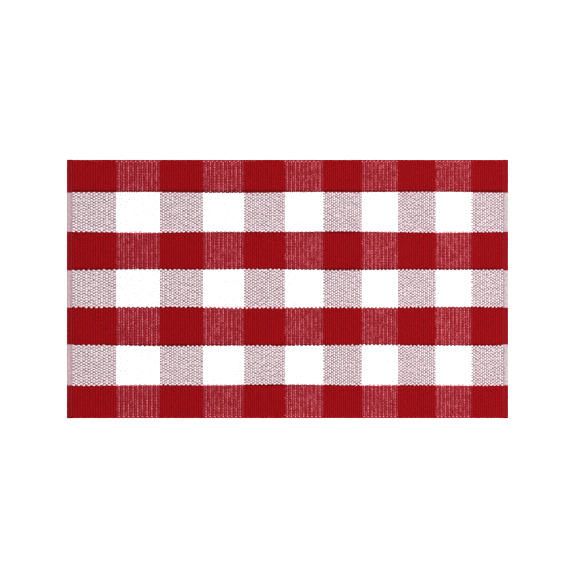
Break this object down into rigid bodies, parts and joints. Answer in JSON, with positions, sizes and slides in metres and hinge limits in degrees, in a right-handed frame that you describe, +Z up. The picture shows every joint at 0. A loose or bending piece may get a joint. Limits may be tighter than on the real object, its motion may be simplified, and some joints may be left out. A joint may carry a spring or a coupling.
{
  "type": "table cloth",
  "caption": "Flat rectangular ribbed cotton table cloth in a red and white buffalo check, with selvedged long sides and stitched hems at both ends.",
  "frame": {"origin": "middle of the flat underside, where the cloth lies on a table", "axes": "+X along the length, across the weft cords, towards the end with the narrow stripes; +Y along the weft cords; +Z up, out of the upper face"},
  "size_m": [0.4834, 0.2834, 0.0022],
  "materials": {
    "red_cotton": "deep red dyed cotton, matt, ribbed warp-faced weave",
    "white_cotton": "bleached white cotton, matt, ribbed warp-faced weave",
    "red_thread": "dark red polished cotton sewing thread"
  },
  "bodies": {
    "root": {"warp_band_1_red": "red_cotton", "warp_band_2_white": "white_cotton", "warp_band_3_red": "red_cotton", "warp_band_4_white": "white_cotton", "warp_band_5_red": "red_cotton", "warp_band_6_white": "white_cotton", "warp_band_7_red": "red_cotton", "weft_stripe_01_red": "red_cotton", "weft_stripe_02_white": "white_cotton", "weft_stripe_03_red": "red_cotton", "weft_stripe_04_white": "white_cotton", "weft_stripe_05_red": "red_cotton", "weft_stripe_06_white": "white_cotton", "weft_stripe_07_red": "red_cotton", "weft_stripe_08_white": "white_cotton", "weft_stripe_09_red": "red_cotton", "weft_stripe_10_white": "white_cotton", "weft_stripe_11_red": "red_cotton", "needle_thread_left": "red_thread", "needle_thread_right": "red_thread", "bobbin_thread_left": "red_thread", "bobbin_thread_right": "red_thread"}
  },
  "joints": []
}
